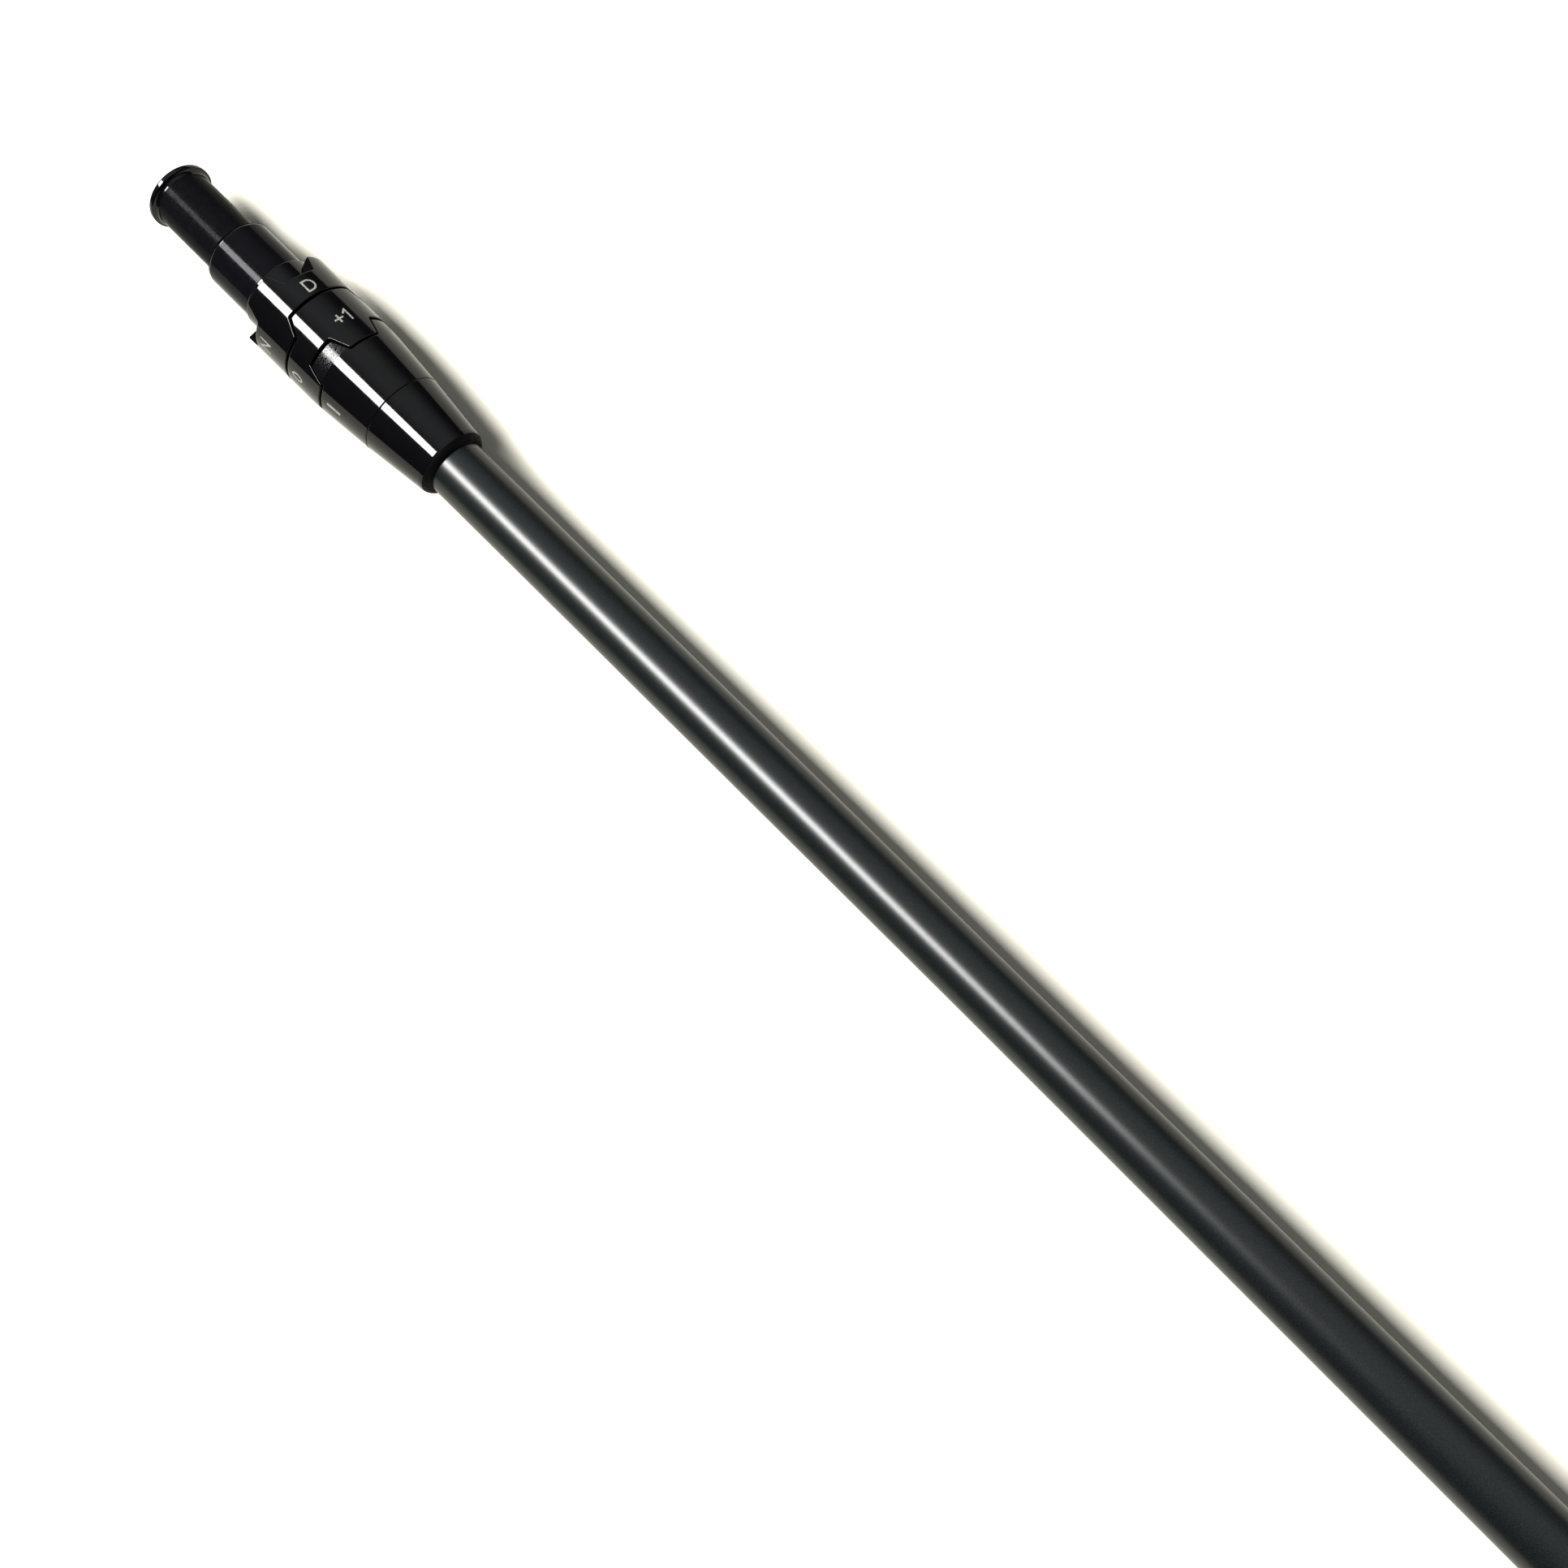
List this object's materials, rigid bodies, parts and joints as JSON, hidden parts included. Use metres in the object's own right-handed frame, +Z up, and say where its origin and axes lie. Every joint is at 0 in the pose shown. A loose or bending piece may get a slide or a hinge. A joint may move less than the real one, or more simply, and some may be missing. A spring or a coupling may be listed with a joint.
{
  "type": "golf driver shaft with adjustable hosel adapter",
  "caption": "Tapered driver shaft with a two-cog adjustable hosel adapter at the tip and a rubber grip at the butt, without its club head.",
  "frame": {"origin": "centre of the mouth of the tapped screw hole, on the adapter's tip face", "axes": "+X along the shaft from the adapter to the grip, +Z up with the club lying down, +Y completes a right-handed frame"},
  "size_m": [1.13, 0.0294, 0.0294],
  "materials": {
    "anodised_sleeve": "satin",
    "cog_gloss": "gloss",
    "collar_gloss": "gloss",
    "ferrule_gloss": "gloss",
    "cured_epoxy": "gloss",
    "plug_cork": "matte",
    "shaft_paint": "satin",
    "paper_tape": "matte",
    "grip_rubber": "matte",
    "cap_rubber": "satin",
    "index_paint": "matte"
  },
  "bodies": {
    "shaft_assembly": {"adapter_sleeve": "anodised_sleeve", "index_collar": "collar_gloss", "ferrule": "ferrule_gloss", "epoxy_bond": "cured_epoxy", "tip_plug": "plug_cork", "shaft": "shaft_paint", "grip_tape": "paper_tape", "grip": "grip_rubber", "grip_cap": "cap_rubber"},
    "loft_cog": {"loft_cog": "cog_gloss"},
    "lie_cog": {"lie_cog": "cog_gloss"}
  },
  "joints": [
    {"name": "loft_cog_slide", "type": "slide", "parent": "shaft_assembly", "child": "loft_cog", "axis": [-1, 0, 0], "range_m": [0, 0.004]},
    {"name": "lie_cog_slide", "type": "slide", "parent": "loft_cog", "child": "lie_cog", "axis": [-1, 0, 0], "range_m": [0, 0.004]}
  ]
}
